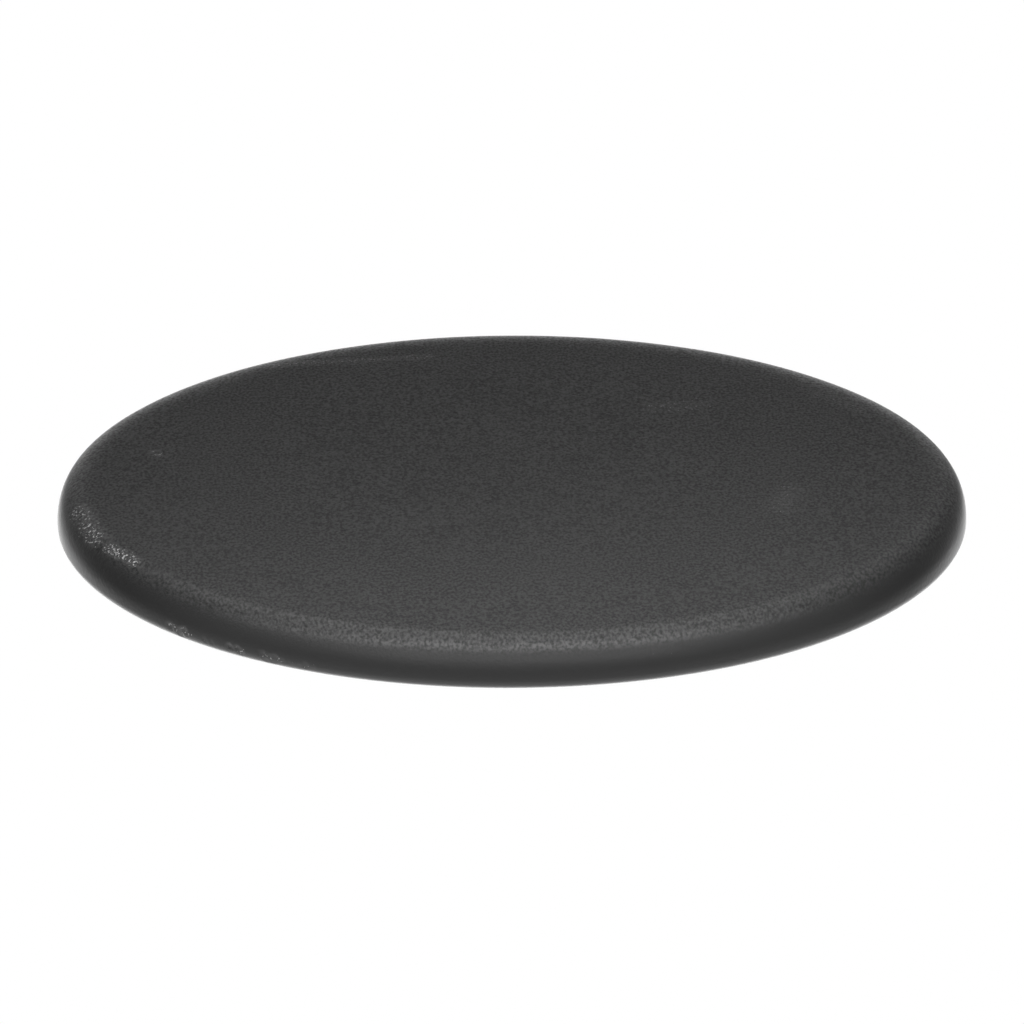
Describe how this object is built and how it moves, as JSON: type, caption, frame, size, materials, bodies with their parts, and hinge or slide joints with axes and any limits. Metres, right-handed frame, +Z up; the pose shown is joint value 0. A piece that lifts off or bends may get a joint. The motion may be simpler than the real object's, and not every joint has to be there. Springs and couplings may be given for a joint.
{
  "type": "massage stone",
  "caption": "Flat oval basalt massage stone: a thin solid disc with a barely crowned working face, a broad rounded shoulder and a flat base.",
  "frame": {"origin": "middle of the flat resting face, which is the bottom of the bounding box", "axes": "+X along the oval's long axis, +Y along its short axis, +Z up through the crowned working face"},
  "size_m": [0.14, 0.126, 0.0087],
  "materials": {
    "basalt": "matte"
  },
  "bodies": {
    "root": {"stone": "basalt"}
  },
  "joints": []
}
